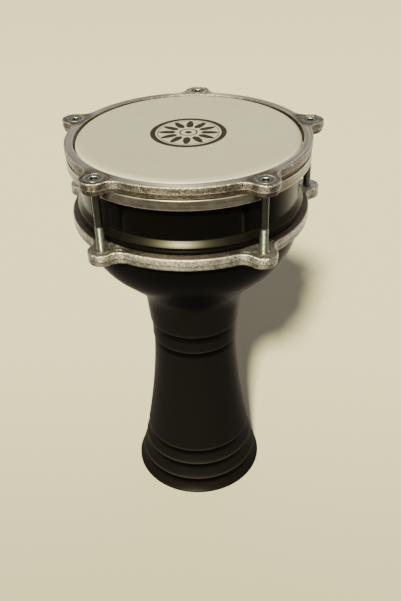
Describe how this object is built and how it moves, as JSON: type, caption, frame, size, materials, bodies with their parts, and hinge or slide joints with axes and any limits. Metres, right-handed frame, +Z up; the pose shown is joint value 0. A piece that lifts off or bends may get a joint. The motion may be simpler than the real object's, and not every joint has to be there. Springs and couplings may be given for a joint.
{
  "type": "goblet drum",
  "caption": "Goblet hand drum with a plastic head, held and tuned by countersunk screws between a counter hoop and a lower ring.",
  "frame": {"origin": "centre of the foot's underside, on the drum's axis", "axes": "+Z up along the drum's axis to the head, +Y towards the fifth tuning screw's ear"},
  "size_m": [0.2652, 0.2585, 0.43],
  "materials": {
    "black_coat": "satin black powder coat over cast aluminium",
    "cast_aluminium": "cast, tumbled and turned on top",
    "drawn_aluminium": "drawn channel, satin",
    "white_film": "matte white polyester film",
    "resin": "cast epoxy",
    "zinc_steel": "zinc plated"
  },
  "bodies": {
    "drum": {"shell": "black_coat", "head_film": "white_film", "flesh_hoop": "drawn_aluminium", "head_resin": "resin", "lower_ring": "cast_aluminium"},
    "hoop": {"top_hoop": "cast_aluminium"},
    "screw_1": {"tension_bolt_1": "zinc_steel"},
    "screw_2": {"tension_bolt_2": "zinc_steel"},
    "screw_3": {"tension_bolt_3": "zinc_steel"},
    "screw_4": {"tension_bolt_4": "zinc_steel"},
    "screw_5": {"tension_bolt_5": "zinc_steel"}
  },
  "joints": [
    {"name": "hoop_lift", "type": "slide", "parent": "drum", "child": "hoop", "axis": [0, 0, 1], "range_m": [0, 0.0075]},
    {"name": "screw_1_turn", "type": "hinge", "parent": "hoop", "child": "screw_1", "pos_m": [0, 0.125, 0.4288], "axis": [0, 0, 1], "range_deg": [0, 2161]},
    {"name": "screw_2_turn", "type": "hinge", "parent": "hoop", "child": "screw_2", "pos_m": [-0.11888, 0.03863, 0.4288], "axis": [0, 0, 1], "range_deg": [0, 2161]},
    {"name": "screw_3_turn", "type": "hinge", "parent": "hoop", "child": "screw_3", "pos_m": [-0.07347, -0.10113, 0.4288], "axis": [0, 0, 1], "range_deg": [0, 2161]},
    {"name": "screw_4_turn", "type": "hinge", "parent": "hoop", "child": "screw_4", "pos_m": [0.07347, -0.10113, 0.4288], "axis": [0, 0, 1], "range_deg": [0, 2161]},
    {"name": "screw_5_turn", "type": "hinge", "parent": "hoop", "child": "screw_5", "pos_m": [0.11888, 0.03863, 0.4288], "axis": [0, 0, 1], "range_deg": [0, 2161]}
  ],
  "couplings": [
    {"joint": "screw_1_turn", "follows": "hoop_lift", "rad_per_m": 5026.5},
    {"joint": "screw_2_turn", "follows": "hoop_lift", "rad_per_m": 5026.5},
    {"joint": "screw_3_turn", "follows": "hoop_lift", "rad_per_m": 5026.5},
    {"joint": "screw_4_turn", "follows": "hoop_lift", "rad_per_m": 5026.5},
    {"joint": "screw_5_turn", "follows": "hoop_lift", "rad_per_m": 5026.5}
  ]
}
